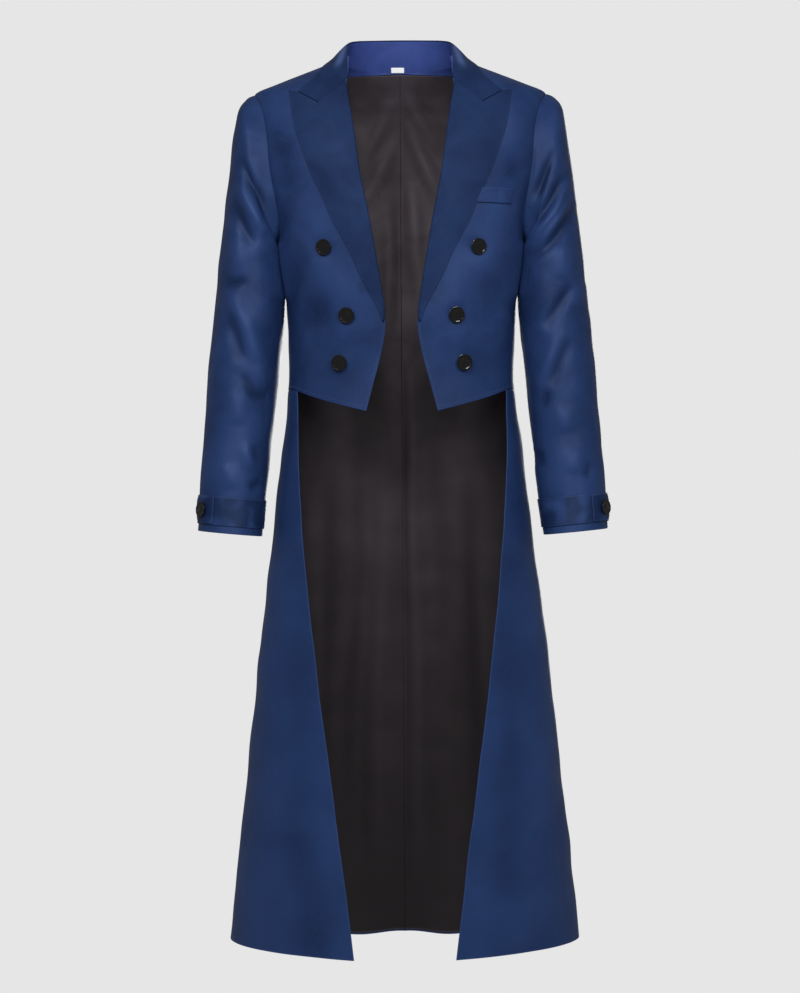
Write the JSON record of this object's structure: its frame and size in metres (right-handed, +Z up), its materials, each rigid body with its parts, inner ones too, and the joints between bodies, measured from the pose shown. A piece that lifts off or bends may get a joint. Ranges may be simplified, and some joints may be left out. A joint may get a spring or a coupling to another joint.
{
  "type": "tailcoat",
  "caption": "Long-tailed coat, hollow as worn, with short pointed double-breasted fronts, peaked lapels, turned-down collar and buttoned cuff bands.",
  "frame": {"origin": "between the wearer's shoulders, where the shoulder seams meet the foot of the neck", "axes": "+Z up, -Y to the wearer's front, +X to the wearer's left"},
  "size_m": [0.6128, 0.2795, 1.3652],
  "materials": {
    "satin_twill": "dark blue satin-faced twill, softly lustrous",
    "collar_twill": "the same twill on the inside of the collar, lit a little more violet",
    "lining_satin": "soft black lining satin",
    "button_resin": "polished black resin",
    "label_tape": "bare white woven tape"
  },
  "bodies": {
    "root": {"back_left": "satin_twill", "back_right": "satin_twill", "breast_welt": "satin_twill", "button_bottom_left": "button_resin", "button_bottom_right": "button_resin", "button_middle_left": "button_resin", "button_middle_right": "button_resin", "button_top_left": "button_resin", "button_top_right": "button_resin", "collar_fall": "satin_twill", "collar_stand": "collar_twill", "cuff_button_left": "button_resin", "cuff_button_right": "button_resin", "cuff_left": "satin_twill", "cuff_right": "satin_twill", "cuff_tab_left": "satin_twill", "cuff_tab_right": "satin_twill", "front_left": "satin_twill", "front_right": "satin_twill", "lapel_left": "satin_twill", "lapel_right": "satin_twill", "lining_back_left": "lining_satin", "lining_back_right": "lining_satin", "lining_tail_left": "lining_satin", "lining_tail_right": "lining_satin", "neck_label": "label_tape", "tail_left": "satin_twill", "tail_right": "satin_twill", "top_sleeve_left": "satin_twill", "top_sleeve_right": "satin_twill", "under_sleeve_left": "satin_twill", "under_sleeve_right": "satin_twill"}
  },
  "joints": []
}
